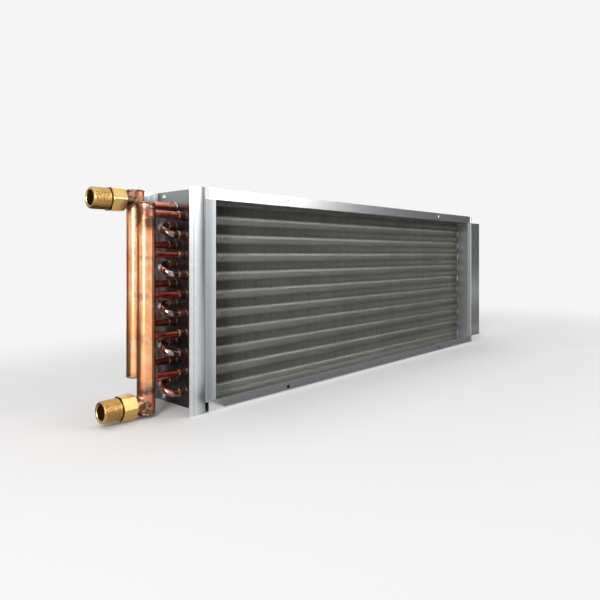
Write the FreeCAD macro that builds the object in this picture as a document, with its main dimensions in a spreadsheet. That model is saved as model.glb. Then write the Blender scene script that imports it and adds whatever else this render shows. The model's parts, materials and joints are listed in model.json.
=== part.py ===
import FreeCAD, Part
import math
import os

# Hot water coil for an air duct: two rows of ten copper tubes through a pack of aluminium fins.
# Five circuits run side by side from the front header, through both rows, to the rear header.
# X runs along the tubes with the headers at the low end, Y runs with the air and Z is up.
# The origin is the middle of the footprint, on the surface that the casing stands on.

doc = FreeCAD.newDocument("HotWaterCoil")
sheet = doc.addObject("Spreadsheet::Sheet", "Sizes")

# Driving sizes in millimetres, each with the name that the pieces use.
driving = {
    "tube_pitch": 25.4,
    "row_pitch": 22.0,
    "tube_radius": 4.76,
    "tube_wall": 0.5,
    "bell_length": 7.0,
    "bell_wall": 0.7,
    "tube_stand_out": 10.0,
    "bend_leg": 9.0,
    "hairpin_stand_out": 7.0,
    "finned_length": 750.0,
    "fin_end_gap": 0.3,
    "fin_spacing": 6.0,
    "fin_slot_depth": 5.0,
    "fin_slot_width": 3.6,
    "plate": 1.2,
    "fold_radius": 2.0,
    "recess": 32.0,
    "lip_height": 14.6,
    "header_flange": 24.0,
    "bend_flange": 42.0,
    "flange_notch": 14.6,
    "corner_relief": 4.5,
    "strip_width": 16.0,
    "seat_gap": 0.3,
    "bore_fit": 0.1,
    "mounting_hole_radius": 2.75,
    "mounting_hole_span": 450.0,
    "rivet_radius": 1.6,
    "rivet_head_radius": 3.4,
    "rivet_head_height": 1.3,
    "rivet_crown_radius": 1.9,
    "rivet_half_span": 36.0,
    "header_distance": 58.0,
    "header_side_offset": 1.2,
    "header_radius": 11.1,
    "header_wall": 1.0,
    "header_end_margin": 0.5,
    "header_penetration": 2.0,
    "cap_thickness": 1.8,
    "cap_plug": 2.0,
    "cap_bevel": 1.2,
    "stub_level": 124.5,
    "stub_radius": 9.5,
    "stub_wall": 1.0,
    "stub_reach": 60.0,
    "fitting_length": 41.0,
    "socket_depth": 14.0,
    "hex_length": 18.0,
    "hex_flats": 28.0,
    "hex_bevel": 1.0,
    "hex_corner_trim": 0.4,
    "thread_radius": 13.2,
    "thread_bore_radius": 9.0,
    "thread_relief": 1.2,
    "thread_relief_width": 2.0,
    "thread_lead": 1.5,
}
tubes_high = 10

# Sizes that follow from the driving ones.
derived = {
    "fin_depth": "2 * row_pitch",
    "fin_height": f"{tubes_high} * tube_pitch",
    "casing_depth": "fin_depth + 2 * recess",
    "casing_height": "fin_height + 2 * seat_gap + 2 * lip_height",
    "front_face": "-casing_depth / 2",
    "header_reach": "header_distance + stub_reach",
    "overall_length": "header_reach + finned_length + 2 * plate + bend_flange",
    "near_web": "header_reach - overall_length / 2",
    "near_inside": "near_web + plate",
    "far_inside": "near_inside + finned_length",
    "far_web": "far_inside + plate",
    "middle": "near_inside + finned_length / 2",
    "floor_level": "lip_height",
    "roof_level": "casing_height - lip_height",
    "centre_level": "casing_height / 2",
    "front_top": "centre_level + fin_height / 2 - 3 * tube_pitch / 4",
    "rear_top": "front_top + tube_pitch / 2",
    "row_side": "row_pitch / 2",
    "tube_bore": "tube_radius - tube_wall",
    "bell_bore": "tube_radius + bore_fit",
    "bell_radius": "bell_bore + bell_wall",
    "tube_hole": "tube_radius + bore_fit",
    "bell_seat": "bell_length - 1",
    "tube_end": "near_web - tube_stand_out",
    "joint_face": "tube_end + bell_seat",
    "header_axis": "near_web - header_distance",
    "header_side": "row_side + header_side_offset",
    "header_bore": "header_radius - header_wall",
    "header_overrun": "stub_radius + cap_plug + header_end_margin",
    "stub_bore": "stub_radius - stub_wall",
    "fitting_end": "header_axis - stub_reach",
    "socket_face": "fitting_end + fitting_length",
    "mouth_level": "casing_height - lip_height / 2 + plate / 2",
    "foot_level": "lip_height / 2 - plate / 2",
}

row = 1
for name, value in driving.items():
    sheet.set(f"A{row}", name)
    sheet.set(f"B{row}", str(value))
    sheet.setAlias(f"B{row}", name)
    row += 1
doc.recompute()
for name, rule in derived.items():
    sheet.set(f"A{row}", name)
    sheet.set(f"B{row}", "=" + rule)
    sheet.setAlias(f"B{row}", name)
    row += 1
doc.recompute()

UP = FreeCAD.Vector(0, 0, 1)
ALONG = FreeCAD.Rotation(FreeCAD.Vector(0, 1, 0), 90)
ACROSS = FreeCAD.Rotation(FreeCAD.Vector(1, 0, 0), -90)
UPRIGHT = FreeCAD.Rotation()
FLATS_UP = ALONG.multiply(FreeCAD.Rotation(UP, 90))


# Helpers: a size or a place is an expression on the sheet's names.

def size(name):
    return float(getattr(sheet, name))


def link(rule):
    text = str(rule)
    for name in sorted(list(driving) + list(derived), key=len, reverse=True):
        text = text.replace("<" + name + ">", "Sizes." + name)
    return text


def bind(item, prop, rule):
    item.setExpression(prop, link(rule))


def put(item, spot, turn=UPRIGHT):
    item.Placement = FreeCAD.Placement(FreeCAD.Vector(), turn)
    for axis, rule in zip("xyz", spot):
        bind(item, "Placement.Base." + axis, rule)
    return item


def block(name, spot, length, width, height):
    item = doc.addObject("Part::Box", name)
    bind(item, "Length", length)
    bind(item, "Width", width)
    bind(item, "Height", height)
    return put(item, spot)


def rod(name, spot, radius, length, turn=ALONG):
    item = doc.addObject("Part::Cylinder", name)
    bind(item, "Radius", radius)
    bind(item, "Height", length)
    return put(item, spot, turn)


def half_ring(name, spot, bend, radius, turn):
    item = doc.addObject("Part::Torus", name)
    bind(item, "Radius1", bend)
    bind(item, "Radius2", radius)
    item.Angle3 = 180
    return put(item, spot, turn)


def join(name, shapes):
    item = doc.addObject("Part::MultiFuse", name)
    item.Shapes = shapes
    item.Refine = True
    return item


def cut(name, base, tool):
    item = doc.addObject("Part::Cut", name)
    item.Base = base
    item.Tool = tool
    return item


def eased(kind, name, base, chooser, amount):
    doc.recompute()
    edges = [
        (number + 1, amount, amount)
        for number, edge in enumerate(base.Shape.Edges)
        if chooser(edge)
    ]
    item = doc.addObject(kind, name)
    item.Base = base
    item.Edges = edges
    return item


def rounded(name, base, chooser, radius):
    return eased("Part::Fillet", name, base, chooser, radius)


def bevelled(name, base, chooser, width):
    return eased("Part::Chamfer", name, base, chooser, width)


parts = []


def keep(item, label):
    item.Label = label
    parts.append(item)
    return item


# Rows of tubes: the level of a tube, counted from the top.

def level(side, number):
    return f"<{side}_top> - {number} * <tube_pitch>"


def side_of(side):
    return "-<row_side>" if side == "front" else "<row_side>"


def tube_holes(name, start, length):
    holes = []
    for side in ("front", "rear"):
        for number in range(tubes_high):
            spot = (start, side_of(side), level(side, number))
            holes.append(rod(f"{name}_{side}_{number}", spot, "<tube_hole>", length))
    return join(name, holes)


# Finned core: one pack, slotted on both faces where the air passes between the fins.

def fin_pack():
    spot = ("<near_inside> + <fin_end_gap>", "-<fin_depth> / 2", "<floor_level> + <seat_gap>")
    length = "<finned_length> - 2 * <fin_end_gap>"
    core = block("fin_block", spot, length, "<fin_depth>", "<fin_height>")
    run = size("finned_length") - 2 * size("fin_end_gap")
    count = int((run - size("fin_spacing")) / size("fin_spacing"))
    slots = []
    for face, side in (("front", "-<fin_depth> / 2 - 1"), ("rear", "<fin_depth> / 2 - <fin_slot_depth>")):
        for number in range(count):
            offset = f"({number} - {(count - 1) / 2}) * <fin_spacing> - <fin_slot_width> / 2"
            place = (f"<middle> + {offset}", side, "<floor_level>")
            slots.append(
                block(
                    f"slot_{face}_{number}",
                    place,
                    "<fin_slot_width>",
                    "<fin_slot_depth> + 1",
                    "<fin_height> + 2 * <seat_gap>",
                )
            )
    every_slot = doc.addObject("Part::Compound", "fin_slots")
    every_slot.Links = slots
    slotted = cut("slotted_block", core, every_slot)
    holes = tube_holes("fin_holes", "<near_inside>", "<finned_length>")
    keep(cut("fin_pack", slotted, holes), "fin_pack")


# End plates: the sheets that carry the tubes, with their flanges folded outward.

def end_plate(name, outer_face, inner_face, start, hollow_start, flange, notch):
    outer = block(
        name + "_outer", (start, "<front_face>", "0"),
        f"<{flange}> + <plate>", "<casing_depth>", "<casing_height>",
    )
    inside = block(
        name + "_inside", (hollow_start, "<front_face> + <plate>", "-1"),
        f"<{flange}> + 1", "<casing_depth> - 2 * <plate>", "<casing_height> + 2",
    )
    channel = cut(name + "_channel", outer, inside)
    fold = size("fold_radius")
    outer_fold = size("casing_depth") / 2
    inner_fold = outer_fold - size("plate")

    def upright_edge(edge, along, across):
        middle = edge.CenterOfMass
        return (
            abs(edge.Length - size("casing_height")) < 0.01
            and abs(middle.x - size(along)) < 0.01
            and abs(abs(middle.y) - across) < 0.01
        )

    def outside_corner(edge):
        return upright_edge(edge, inner_face, outer_fold)

    def inside_corner(edge):
        return upright_edge(edge, outer_face, inner_fold)

    once = rounded(name + "_fold", channel, outside_corner, fold)
    twice = rounded(name + "_bend", once, inside_corner, fold - size("plate"))
    gaps = [tube_holes(name + "_holes", f"{start} - 1", f"<{flange}> + <plate> + 2")]
    if notch:
        for end, foot in (("low", "-1"), ("high", "<casing_height> - <flange_notch>")):
            gaps.append(
                block(
                    f"{name}_{end}_notch", (f"<{outer_face}> + <fold_radius>", "<front_face> - 1", foot),
                    "<bend_flange>", "<casing_depth> + 2", "<flange_notch> + 1",
                )
            )
    gaps.extend(rivet_holes(name, f"{start} - 1", f"<{flange}> + <plate> + 2"))
    keep(cut(name, twice, join(name + "_gaps", gaps)), name)


def rivet_spots():
    for end in ("mouth_level", "foot_level"):
        for sign in (-1, 1):
            yield f"{sign} * <rivet_half_span>", f"<{end}>"


def rivet_holes(name, start, length):
    holes = []
    for number, (side, height) in enumerate(rivet_spots()):
        spot = (start, side, height)
        holes.append(rod(f"{name}_rivet_{number}", spot, "<rivet_radius> + <bore_fit> / 2", length))
    return holes


# Casing trays: roof and floor, folded outward on all four sides with relieved corners.

def tray(name, sheet_level, lip_level):
    pieces = [
        block(
            name + "_sheet", ("<near_inside>", "<front_face>", sheet_level),
            "<finned_length>", "<casing_depth>", "<plate>",
        )
    ]
    for face, side in (("front", "<front_face>"), ("rear", "-<front_face> - <plate>")):
        pieces.append(
            block(
                f"{name}_{face}_lip", ("<near_inside> + <corner_relief>", side, lip_level),
                "<finned_length> - 2 * <corner_relief>", "<plate>", "<lip_height>",
            )
        )
    for end, start in (("near", "<near_inside>"), ("far", "<far_inside> - <plate>")):
        pieces.append(
            block(
                f"{name}_{end}_lip", (start, "<front_face> + <corner_relief>", lip_level),
                "<plate>", "<casing_depth> - 2 * <corner_relief>", "<lip_height>",
            )
        )
    whole = join(name + "_folded", pieces)
    fold = size("fold_radius")
    run = size("finned_length") - 2 * size("corner_relief")
    inner_side = size("casing_depth") / 2 - size("plate")

    def lip_root(edge):
        middle = edge.CenterOfMass
        return (
            abs(edge.Length - run) < 2 * size("plate") + 0.01
            and abs(abs(middle.y) - inner_side) < 0.01
            and 2 * size("plate") < middle.z < size("casing_height") - 2 * size("plate")
        )

    bent = rounded(name + "_bent", whole, lip_root, fold - size("plate"))
    holes = []
    for number, sign in enumerate((-1, 1)):
        height = "<mouth_level>" if name == "top_tray" else "<foot_level>"
        spot = (f"<middle> + {sign} * <mounting_hole_span> / 2", "<front_face> - 1", height)
        holes.append(
            rod(f"{name}_hole_{number}", spot, "<mounting_hole_radius>", "<casing_depth> + 2", ACROSS)
        )
    holes.extend(rivet_holes(name, "<near_inside> - 1", "<finned_length> + 2"))
    keep(cut(name, bent, join(name + "_holes", holes)), name)


# Baffle angles: they close the gap between the end plates and the fins on each face.

def baffle(face, end):
    name = f"{face}_{end}_baffle"
    height = "<roof_level> - <floor_level>"
    strip_side = "<front_face>" if face == "front" else "-<front_face> - <plate>"
    leg_side = "<front_face>" if face == "front" else "<fin_depth> / 2 + <seat_gap>"
    strip_start = "<near_inside>" if end == "near" else "<far_inside> - <strip_width>"
    leg_start = "<near_inside>" if end == "near" else "<far_inside> - <plate>"
    strip = block(
        name + "_strip", (strip_start, strip_side, "<floor_level>"), "<strip_width>", "<plate>", height,
    )
    leg = block(
        name + "_leg", (leg_start, leg_side, "<floor_level>"), "<plate>", "<recess> - <seat_gap>", height,
    )
    angle = join(name + "_angle", [strip, leg])
    corner = size("near_inside") if end == "near" else size("far_inside")
    tall = size("roof_level") - size("floor_level")

    def outside_corner(edge):
        middle = edge.CenterOfMass
        return (
            abs(edge.Length - tall) < 0.01
            and abs(middle.x - corner) < 0.01
            and abs(abs(middle.y) - size("casing_depth") / 2) < 0.01
        )

    keep(rounded(name, angle, outside_corner, size("plate")), name)


# A leg's seam faces away from the middle of its bend, where the bend has its own.

def leg_turn(outward):
    return FreeCAD.Rotation(outward, FreeCAD.Vector(), FreeCAD.Vector(1, 0, 0), "ZXY")


# Hairpin tubes: two legs and the bend between them are one tube, belled at the open ends.

def hairpin(side, pair):
    name = f"{side}_hairpin_{pair + 1}"
    upper = level(side, 2 * pair)
    lower = level(side, 2 * pair + 1)
    bend_start = "<far_web> + <hairpin_stand_out>"
    turn = FreeCAD.Rotation(UP, FreeCAD.Vector(1, 0, 0), FreeCAD.Vector(0, 1, 0), "ZXY")
    leg_turns = {"upper": leg_turn(UP), "lower": leg_turn(-UP)}
    centre = (bend_start, side_of(side), f"{upper} - <tube_pitch> / 2")
    shells = []
    for skin, radius, start in (
        ("outer", "<tube_radius>", "<tube_end> + <bell_length>"),
        ("bore", "<tube_bore>", "<tube_end> + <bell_length> - 1"),
    ):
        length = f"{bend_start} - ({start})"
        legs = [
            rod(
                f"{name}_{skin}_{place}", (start, side_of(side), height),
                radius, length, leg_turns[place],
            )
            for place, height in (("upper", upper), ("lower", lower))
        ]
        legs.append(half_ring(f"{name}_{skin}_bend", centre, "<tube_pitch> / 2", radius, turn))
        if skin == "outer":
            legs.extend(
                rod(
                    f"{name}_bell_{place}", ("<tube_end>", side_of(side), height),
                    "<bell_radius>", "<bell_length>",
                )
                for place, height in (("upper", upper), ("lower", lower))
            )
        else:
            legs.extend(
                rod(
                    f"{name}_seat_{place}", ("<tube_end> - 1", side_of(side), height),
                    "<bell_bore>", "<bell_seat> + 1",
                )
                for place, height in (("upper", upper), ("lower", lower))
            )
        shells.append(join(f"{name}_{skin}", legs))
    keep(cut(name, shells[0], shells[1]), name)


# Return bends: each crosses from a front tube to the rear tube half a pitch above it.

def return_bend(pair):
    name = f"return_bend_{pair + 1}"
    front_level = level("front", 2 * pair + 1)
    slope = FreeCAD.Vector(0, size("row_pitch"), size("tube_pitch") / 2)
    bend = "sqrt(<row_pitch> ^ 2 + (<tube_pitch> / 2) ^ 2) / 2"
    slope.normalize()
    outward = FreeCAD.Vector(-1, 0, 0)
    turn = FreeCAD.Rotation(slope, outward, slope.cross(outward), "ZXY")
    start = "<joint_face> - <bend_leg>"
    centre = (start, "0", f"{front_level} + <tube_pitch> / 4")
    shells = []
    for skin, radius, extra in (("outer", "<tube_radius>", "0"), ("bore", "<tube_bore>", "1")):
        pieces = [half_ring(f"{name}_{skin}_bend", centre, bend, radius, turn)]
        for side, height, away in (
            ("front", front_level, -slope),
            ("rear", f"{front_level} + <tube_pitch> / 2", slope),
        ):
            spot = (start, side_of(side), height)
            length = f"<bend_leg> + {extra}"
            pieces.append(rod(f"{name}_{skin}_{side}", spot, radius, length, leg_turn(away)))
        shells.append(join(f"{name}_{skin}", pieces))
    keep(cut(name, shells[0], shells[1]), name)


# Feeders: the short tubes from a header into the belled tubes of its row.

def header_place(side):
    return "-<header_side>" if side == "front" else "<header_side>"


def feeder(side, pair):
    name = f"{side}_feeder_{pair + 1}"
    start = "<header_axis> + <header_bore> - <header_penetration>"
    spot = (start, side_of(side), level(side, 2 * pair))
    length = f"<joint_face> - ({start})"
    outer = rod(name + "_outer", spot, "<tube_radius>", length)
    inner_spot = (f"{start} - 1", side_of(side), level(side, 2 * pair))
    inner = rod(name + "_bore", inner_spot, "<tube_bore>", f"{length} + 2")
    keep(cut(name, outer, inner), name)


# Headers: an upright copper pipe for each row, with its stub at the top or at the bottom.

def header_ends(side):
    last = tubes_high - 2
    if side == "front":
        low = "<centre_level> - <stub_level> - <header_overrun>"
        high = f"{level(side, 0)} + <header_overrun>"
    else:
        low = f"{level(side, last)} - <header_overrun>"
        high = "<centre_level> + <stub_level> + <header_overrun>"
    return low, high


def stub_height(side):
    sign = "-" if side == "front" else "+"
    return f"<centre_level> {sign} <stub_level>"


def header(side):
    name = side + "_header"
    low, high = header_ends(side)
    length = f"{high} - ({low})"
    spot = ("<header_axis>", header_place(side), low)
    outer = rod(name + "_outer", spot, "<header_radius>", length, UPRIGHT)
    bore_spot = ("<header_axis>", header_place(side), f"{low} - 1")
    cuts = [rod(name + "_bore", bore_spot, "<header_bore>", f"{length} + 2", UPRIGHT)]
    for pair in range(tubes_high // 2):
        spot = ("<header_axis>", side_of(side), level(side, 2 * pair))
        cuts.append(rod(f"{name}_port_{pair}", spot, "<tube_hole>", "<header_radius> + 1"))
    stub_spot = ("<header_axis> - <header_radius> - 1", header_place(side), stub_height(side))
    cuts.append(rod(name + "_outlet", stub_spot, "<stub_radius> + <bore_fit>", "<header_radius> + 1"))
    keep(cut(name, outer, join(name + "_cuts", cuts)), name)
    for end, disc, plug in (
        ("lower", f"{low} - <cap_thickness>", low),
        ("upper", high, f"{high} - <cap_plug>"),
    ):
        cap_name = f"{side}_header_{end}_cap"
        place = ("<header_axis>", header_place(side))
        cover = rod(cap_name + "_disc", place + (disc,), "<header_radius>", "<cap_thickness>", UPRIGHT)
        spigot = rod(
            cap_name + "_plug", place + (plug,), "<header_bore> - <bore_fit>", "<cap_plug>", UPRIGHT,
        )
        body = join(cap_name + "_body", [cover, spigot])
        doc.recompute()
        outer_level = cover.Placement.Base.z + (cover.Height.Value if end == "upper" else 0)

        def outer_rim(edge, target=outer_level):
            ring = abs(edge.Length - 2 * math.pi * size("header_radius")) < 0.01
            return ring and abs(edge.CenterOfMass.z - target) < 0.01

        keep(bevelled(cap_name, body, outer_rim, size("cap_bevel")), cap_name)


# Stub pipes and threaded fittings: the water connections.

def stub(side):
    name = side + "_stub_pipe"
    start = "<socket_face> - <socket_depth>"
    length = f"<header_axis> - <header_bore> + <header_penetration> - ({start})"
    spot = (start, header_place(side), stub_height(side))
    outer = rod(name + "_outer", spot, "<stub_radius>", length)
    bore_spot = (f"{start} - 1", header_place(side), stub_height(side))
    inner = rod(name + "_bore", bore_spot, "<stub_bore>", f"{length} + 2")
    keep(cut(name, outer, inner), name)


def fitting(side):
    name = side + "_fitting"
    place = (header_place(side), stub_height(side))
    hexagon = doc.addObject("Part::Prism", name + "_hex")
    hexagon.Polygon = 6
    bind(hexagon, "Circumradius", "<hex_flats> / sqrt(3)")
    bind(hexagon, "Height", "<hex_length>")
    put(hexagon, ("<socket_face> - <hex_length>",) + place, FLATS_UP)
    blank = rod(
        name + "_blank", ("<socket_face> - <hex_length>",) + place,
        "<hex_flats> / sqrt(3) - <hex_corner_trim>", "<hex_length>",
    )

    def rim(edge):
        return edge.Closed and isinstance(edge.Curve, Part.Circle)

    wrench_part = doc.addObject("Part::Common", name + "_wrench_part")
    wrench_part.Base = hexagon
    wrench_part.Tool = bevelled(name + "_bevel", blank, rim, size("hex_bevel"))
    thread_length = "<fitting_length> - <hex_length> - <thread_lead>"
    thread_start = "<fitting_end> + <thread_lead>"
    male = rod(name + "_male", (thread_start,) + place, "<thread_radius>", thread_length)
    lead = doc.addObject("Part::Cone", name + "_lead")
    bind(lead, "Radius1", "<thread_radius> - <thread_lead>")
    bind(lead, "Radius2", "<thread_radius>")
    bind(lead, "Height", "<thread_lead>")
    put(lead, ("<fitting_end>",) + place, ALONG)
    solid = join(name + "_solid", [wrench_part, male, lead])
    relief_start = "<socket_face> - <hex_length> - <thread_relief_width>"
    ring = rod(name + "_ring", (relief_start,) + place, "<thread_radius> + 1", "<thread_relief_width>")
    core = rod(
        name + "_core", (f"{relief_start} - 1",) + place,
        "<thread_radius> - <thread_relief>", "<thread_relief_width> + 2",
    )
    groove = cut(name + "_groove", ring, core)
    passage = rod(
        name + "_passage", ("<fitting_end> - 1",) + place, "<stub_bore>", "<fitting_length> + 2",
    )
    mouth = rod(
        name + "_mouth", ("<fitting_end> - 1",) + place,
        "<thread_bore_radius> + <bore_fit>", "<hex_length>",
    )
    socket = rod(
        name + "_socket", ("<socket_face> - <socket_depth>",) + place,
        "<stub_radius> + <bore_fit>", "<socket_depth> + 1",
    )
    keep(cut(name, solid, join(name + "_cuts", [groove, passage, mouth, socket])), name)


# Rivets: they hold the trays to the end plates, heads outward.

def rivets():
    pins = []
    for end in ("near", "far"):
        for number, (side, height) in enumerate(rivet_spots()):
            name = f"rivet_{end}_{number}"
            if end == "near":
                shank_start = "<near_web>"
                head_start = "<near_web> - <rivet_head_height>"
                radii = ("<rivet_crown_radius>", "<rivet_head_radius>")
            else:
                shank_start = "<far_inside> - <plate>"
                head_start = "<far_web>"
                radii = ("<rivet_head_radius>", "<rivet_crown_radius>")
            shank = rod(name + "_shank", (shank_start, side, height), "<rivet_radius>", "2 * <plate>")
            head = doc.addObject("Part::Cone", name + "_head")
            bind(head, "Radius1", radii[0])
            bind(head, "Radius2", radii[1])
            bind(head, "Height", "<rivet_head_height>")
            put(head, (head_start, side, height), ALONG)
            pins.append(join(name, [shank, head]))
    group = doc.addObject("Part::Compound", "tray_rivets")
    group.Links = pins
    keep(group, "tray_rivets")


fin_pack()
end_plate(
    "header_end_plate", "near_web", "near_inside", "<near_web> - <header_flange>",
    "<near_web> - <header_flange> - 1", "header_flange", False,
)
end_plate(
    "bend_end_plate", "far_web", "far_inside", "<far_inside>", "<far_web>", "bend_flange", True,
)
tray("top_tray", "<roof_level>", "<roof_level>")
tray("bottom_tray", "<floor_level> - <plate>", "0")
for face in ("front", "rear"):
    for end in ("near", "far"):
        baffle(face, end)
for side in ("front", "rear"):
    for pair in range(tubes_high // 2):
        hairpin(side, pair)
        feeder(side, pair)
for pair in range(tubes_high // 2):
    return_bend(pair)
for side in ("front", "rear"):
    header(side)
    stub(side)
    fitting(side)
rivets()
doc.recompute()

# Every object is computed and every piece is a sound solid before anything is written.
for item in doc.Objects:
    if "Invalid" in item.State or "Error" in item.State:
        raise RuntimeError(f"{item.Name} could not be computed")
for item in parts:
    if item.Shape.isNull() or not item.Shape.isValid() or item.Shape.Volume <= 0:
        raise RuntimeError(f"{item.Label} is not a sound solid")

os.makedirs("parts", exist_ok=True)
for item in parts:
    item.Shape.exportStep(f"parts/{item.Label}.step")
print(f"{len(parts)} parts written")
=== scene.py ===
import bpy
import bmesh
import json
import math
import random
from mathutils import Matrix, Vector, noise


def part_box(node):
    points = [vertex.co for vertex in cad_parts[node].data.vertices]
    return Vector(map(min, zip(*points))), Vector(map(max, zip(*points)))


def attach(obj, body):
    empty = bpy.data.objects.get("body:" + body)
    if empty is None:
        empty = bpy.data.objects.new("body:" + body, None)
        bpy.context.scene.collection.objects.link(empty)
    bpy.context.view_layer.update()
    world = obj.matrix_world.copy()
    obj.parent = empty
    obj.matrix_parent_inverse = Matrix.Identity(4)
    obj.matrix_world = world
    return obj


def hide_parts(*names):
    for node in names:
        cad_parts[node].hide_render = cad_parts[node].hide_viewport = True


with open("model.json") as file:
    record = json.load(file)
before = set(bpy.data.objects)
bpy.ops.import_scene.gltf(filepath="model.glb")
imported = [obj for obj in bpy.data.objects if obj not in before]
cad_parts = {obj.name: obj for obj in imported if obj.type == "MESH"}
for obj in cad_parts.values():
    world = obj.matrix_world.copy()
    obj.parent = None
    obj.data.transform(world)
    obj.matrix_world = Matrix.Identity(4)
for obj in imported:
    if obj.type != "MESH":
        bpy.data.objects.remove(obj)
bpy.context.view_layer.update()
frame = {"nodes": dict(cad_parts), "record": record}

scene = bpy.context.scene
nodes = frame["nodes"]


# Materials and the node groups that they share.
def newGroup(name, inputs, outputs):
    group = bpy.data.node_groups.new(name, "ShaderNodeTree")
    for label, kind, value in inputs:
        socket = group.interface.new_socket(name=label, in_out="INPUT", socket_type=kind)
        if value is not None:
            socket.default_value = value
    for label, kind in outputs:
        group.interface.new_socket(name=label, in_out="OUTPUT", socket_type=kind)
    source = group.nodes.new("NodeGroupInput")
    sink = group.nodes.new("NodeGroupOutput")
    return group, source, sink


def addMath(tree, operation, first, second=None, third=None):
    node = tree.nodes.new("ShaderNodeMath")
    node.operation = operation
    for index, value in enumerate((first, second, third)):
        if value is None:
            continue
        if isinstance(value, (int, float)):
            node.inputs[index].default_value = value
        else:
            tree.links.new(value, node.inputs[index])
    return node.outputs[0]


def addSmooth(tree, value, low, high):
    node = tree.nodes.new("ShaderNodeMapRange")
    node.interpolation_type = "SMOOTHSTEP"
    node.inputs["From Min"].default_value = low
    node.inputs["From Max"].default_value = high
    tree.links.new(value, node.inputs["Value"])
    return node.outputs["Result"]


def addMix(tree, factor, first, second):
    node = tree.nodes.new("ShaderNodeMix")
    node.data_type = "RGBA"
    for socket, value in ((node.inputs["Factor"], factor), (node.inputs["A"], first), (node.inputs["B"], second)):
        if isinstance(value, (int, float)):
            socket.default_value = value
        elif isinstance(value, tuple):
            socket.default_value = value + (1,)
        else:
            tree.links.new(value, socket)
    return node.outputs["Result"]


def addNoise(tree, vector, scale, detail=3.0, stretch=(1, 1, 1)):
    mapping = tree.nodes.new("ShaderNodeMapping")
    mapping.inputs["Scale"].default_value = stretch
    tree.links.new(vector, mapping.inputs["Vector"])
    node = tree.nodes.new("ShaderNodeTexNoise")
    node.inputs["Scale"].default_value = scale
    node.inputs["Detail"].default_value = detail
    tree.links.new(mapping.outputs["Vector"], node.inputs["Vector"])
    return node.outputs["Fac"]


def splitPlace(tree, place):
    node = tree.nodes.new("ShaderNodeSeparateXYZ")
    tree.links.new(place, node.inputs[0])
    return node.outputs


def addBump(tree, height, strength, distance, normal=None):
    node = tree.nodes.new("ShaderNodeBump")
    if isinstance(strength, (int, float)):
        node.inputs["Strength"].default_value = strength
    else:
        tree.links.new(strength, node.inputs["Strength"])
    node.inputs["Distance"].default_value = distance
    tree.links.new(height, node.inputs["Height"])
    if normal:
        tree.links.new(normal, node.inputs["Normal"])
    return node.outputs["Normal"]


def makeHandlingMarks():  # faint rubbed patches and hair scratches of sheet and pipe
    look = {
        "patchDetail": 5, "patchRough": 0.6, "lineStretch": (0.08, 1, 1), "lineTurn": (0.1, 0.2, 0.3),
        "lineDetail": 2, "lineRange": (0.60, 0.72), "lineHeight": 0.0002,
    }
    group, source, sink = newGroup(
        "handlingMarks",
        [("Place", "NodeSocketVector", None), ("Patch Scale", "NodeSocketFloat", 14.0),
         ("Scratch Scale", "NodeSocketFloat", 300.0), ("Scratch Depth", "NodeSocketFloat", 0.1)],
        [("Patches", "NodeSocketFloat"), ("Scratches", "NodeSocketFloat"), ("Normal", "NodeSocketVector")],
    )
    patches = group.nodes.new("ShaderNodeTexNoise")
    patches.inputs["Detail"].default_value = look["patchDetail"]
    patches.inputs["Roughness"].default_value = look["patchRough"]
    group.links.new(source.outputs["Place"], patches.inputs["Vector"])
    group.links.new(source.outputs["Patch Scale"], patches.inputs["Scale"])
    mapping = group.nodes.new("ShaderNodeMapping")
    mapping.inputs["Scale"].default_value = look["lineStretch"]
    mapping.inputs["Rotation"].default_value = look["lineTurn"]
    group.links.new(source.outputs["Place"], mapping.inputs["Vector"])
    lines = group.nodes.new("ShaderNodeTexNoise")
    lines.inputs["Detail"].default_value = look["lineDetail"]
    group.links.new(mapping.outputs["Vector"], lines.inputs["Vector"])
    group.links.new(source.outputs["Scratch Scale"], lines.inputs["Scale"])
    sharp = addSmooth(group, lines.outputs["Fac"], *look["lineRange"])
    group.links.new(patches.outputs["Fac"], sink.inputs["Patches"])
    group.links.new(sharp, sink.inputs["Scratches"])
    normal = addBump(group, sharp, source.outputs["Scratch Depth"], look["lineHeight"])
    group.links.new(normal, sink.inputs["Normal"])
    return group


def makeHeatStain():  # how far the torch discoloured the copper beside a row of joints
    look = {"cloudNoise": (60, 4), "unrest": (0.9, -0.45), "fade": (1.1, 0.3)}
    group, source, sink = newGroup(
        "heatStain",
        [("Place", "NodeSocketVector", None), ("First Joint", "NodeSocketFloat", 0.25),
         ("Joint Step", "NodeSocketFloat", 0.0508), ("Reach", "NodeSocketFloat", 0.012)],
        [("Stain", "NodeSocketFloat"), ("Clouds", "NodeSocketFloat")],
    )
    height = splitPlace(group, source.outputs["Place"])["Z"]
    turns = addMath(group, "SUBTRACT", height, source.outputs["First Joint"])
    turns = addMath(group, "DIVIDE", turns, source.outputs["Joint Step"])
    distance = addMath(group, "MULTIPLY", addMath(group, "PINGPONG", turns, 0.5), source.outputs["Joint Step"])
    share = addMath(group, "DIVIDE", distance, source.outputs["Reach"])
    clouds = addNoise(group, source.outputs["Place"], *look["cloudNoise"])
    unrest = addMath(group, "MULTIPLY_ADD", clouds, *look["unrest"])
    stain = addSmooth(group, addMath(group, "ADD", share, unrest), *look["fade"])
    group.links.new(stain, sink.inputs["Stain"])
    group.links.new(clouds, sink.inputs["Clouds"])
    return group


handlingMarks = makeHandlingMarks()
heatStain = makeHeatStain()


def startMaterial(name, metallic):
    material = bpy.data.materials.new(name)
    material.use_nodes = True
    tree = material.node_tree
    shader = tree.nodes["Principled BSDF"]
    shader.inputs["Metallic"].default_value = metallic
    place = tree.nodes.new("ShaderNodeTexCoord").outputs["Object"]
    return material, tree, shader, place


def linkShader(tree, shader, base, rough, normal):
    tree.links.new(base, shader.inputs["Base Color"])
    tree.links.new(rough, shader.inputs["Roughness"])
    tree.links.new(normal, shader.inputs["Normal"])


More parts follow.
